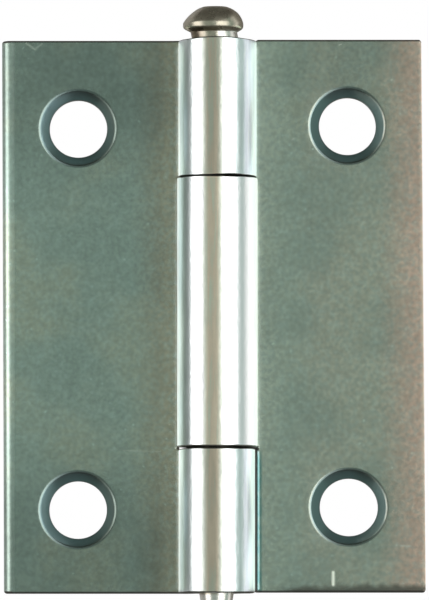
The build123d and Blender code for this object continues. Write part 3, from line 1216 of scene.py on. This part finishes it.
def flag(name, azimuths, elevations, distance, glow):
    """A glowing curved panel that only mirror-like surfaces see."""
    columns = [*spaced(*azimuths, FLAG_STEP), azimuths[1]]
    rows = [*spaced(*elevations, FLAG_STEP), elevations[1]]
    points = [studio_point(azimuth, elevation, distance) for elevation in rows for azimuth in columns]
    width = len(columns)
    faces = []
    for row in range(len(rows) - 1):
        for corner in range(row * width, row * width + width - 1):
            faces.append((corner, corner + 1, corner + width + 1, corner + width))
    mesh = bpy.data.meshes.new(name)
    mesh.from_pydata(points, [], faces)
    mesh.materials.append(glow)
    panel = new_piece(name, mesh)
    panel.visible_camera = False
    panel.visible_diffuse = False
    panel.visible_shadow = False


def softbox(name, azimuth, half_angle, half_height, tint, radiance):
    """An area lamp that faces the hinge."""
    lamp = bpy.data.lights.new(name, "AREA")
    lamp.shape = "RECTANGLE"
    lamp.size = 2 * SOFTBOX_DISTANCE * math.tan(math.radians(half_angle))
    lamp.size_y = 2 * SOFTBOX_DISTANCE * math.tan(math.radians(half_height))
    lamp.energy = radiance * math.pi * lamp.size * lamp.size_y
    lamp.color = tint
    box = new_piece(name, lamp)
    box.location = studio_point(azimuth, 0, SOFTBOX_DISTANCE)
    box.rotation_euler = (-box.location).to_track_quat("-Z", "Y").to_euler()
    box.visible_camera = False


def white_world(fill):
    """A world that is white to the camera and in mirrors, and a plain fill on matt surfaces."""
    world = bpy.data.worlds.new("white_room")
    bpy.context.scene.world = world
    world.use_nodes = True
    wire = Wiring(world.node_tree)
    rays = wire.add("ShaderNodeLightPath").outputs
    seen = wire.math("MAXIMUM", rays["Is Camera Ray"], rays["Is Glossy Ray"])
    seen = wire.math("MAXIMUM", seen, rays["Is Transmission Ray"])
    background = world.node_tree.nodes["Background"].inputs
    wire.feed(background["Color"], NEUTRAL)
    wire.feed(background["Strength"], wire.plus(wire.times(seen, 1 - fill), fill))


def pale_floor(height):
    """A round pale floor that fades out into the white room."""
    count = 64
    ring = [2 * math.pi * index / count for index in range(count)]
    points = [(FLOOR_RADIUS * math.cos(turn), FLOOR_RADIUS * math.sin(turn), height) for turn in ring]
    mesh = bpy.data.meshes.new("floor")
    mesh.from_pydata(points, [], [range(count)])
    material = bpy.data.materials.new("pale_floor")
    material.use_nodes = True
    wire = Wiring(material.node_tree)
    nodes = material.node_tree.nodes
    matt = nodes["Principled BSDF"]
    wire.feed(matt.inputs["Base Color"], FLOOR_WHITE)
    wire.feed(matt.inputs["Roughness"], FLOOR_ROUGHNESS)
    place = wire.add("ShaderNodeTexCoord").outputs["Object"]
    away = wire.vector("LENGTH", wire.vector("MULTIPLY", place, (1, 1, 0)))
    clear = wire.add("ShaderNodeBsdfTransparent").outputs[0]
    faded = wire.mixed(wire.ramp(away, *FLOOR_FADE), matt.outputs[0], clear)
    wire.feed(nodes["Material Output"].inputs["Surface"], faded)
    mesh.materials.append(material)
    floor = new_piece("floor", mesh)
    floor.visible_glossy = False


def front_camera(studio):
    """The photograph's view: far away, a little below the hinge and looking slightly up."""
    sensor = 36
    lens = bpy.data.cameras.new("front")
    camera = new_piece("front", lens)
    aim = Vector((studio.aim_side, bore_radius, studio.aim_height))
    camera.location = (studio.aim_side, bore_radius - studio.distance, -studio.drop)
    line = aim - camera.location
    camera.rotation_euler = line.to_track_quat("-Z", "Y").to_euler()
    lens.sensor_width = sensor
    lens.lens = sensor * line.length / studio.view_height
    lens.clip_start = 0.01
    bpy.context.scene.camera = camera


class HINGE_OT_studio(bpy.types.Operator):
    """Set up the floor, the lamps, the white room and the camera"""

    bl_idname = "hinge.studio"
    bl_label = "Studio"

    def execute(self, context):
        studio = context.scene.hinge_studio
        context.scene.view_settings.view_transform = "Standard"
        white_world(studio.fill)
        pale_floor(studio.floor_height)
        for name, azimuths, elevations, distance, once, twice in FLAGS:
            flag(name, azimuths, elevations, distance, glow_material(name, once, twice))
        for settings in SOFTBOXES:
            softbox(*settings, studio.lamp_radiance)
        front_camera(studio)
        return {"FINISHED"}


class HINGE_PT_sidebar(bpy.types.Panel):
    """Lists the hinge's steps and the sizes they use"""

    bl_idname = "HINGE_PT_sidebar"
    bl_label = "Narrow hinge"
    bl_space_type = "VIEW_3D"
    bl_region_type = "UI"
    bl_category = "Hinge"

    def draw(self, context):
        layout = self.layout
        for operator, groups in STEPS:
            box = layout.box()
            box.operator(operator)
            for group in groups:
                settings = getattr(context.scene, group)
                for name in settings.__annotations__:
                    box.prop(settings, name)


STEPS = (
    (HINGE_OT_leaves.bl_idname, ("hinge_leaf", "hinge_finish")),
    (HINGE_OT_pin.bl_idname, ("hinge_pin",)),
    (HINGE_OT_studio.bl_idname, ("hinge_studio",)),
)
GROUPS = (
    ("hinge_leaf", LeafSizes),
    ("hinge_pin", PinSizes),
    ("hinge_finish", Finish),
    ("hinge_studio", Studio),
)
CLASSES = (HINGE_OT_leaves, HINGE_OT_pin, HINGE_OT_studio, HINGE_PT_sidebar)


def register():
    for name, group in GROUPS:
        bpy.utils.register_class(group)
        setattr(bpy.types.Scene, name, bpy.props.PointerProperty(type=group))
    for entry in CLASSES:
        bpy.utils.register_class(entry)


def unregister():
    for entry in reversed(CLASSES):
        bpy.utils.unregister_class(entry)
    for name, group in reversed(GROUPS):
        delattr(bpy.types.Scene, name)
        bpy.utils.unregister_class(group)


def main():
    register()
    bpy.ops.hinge.leaves()
    bpy.ops.hinge.pin()
    bpy.ops.hinge.studio()


if __name__ == "__main__":
    main()
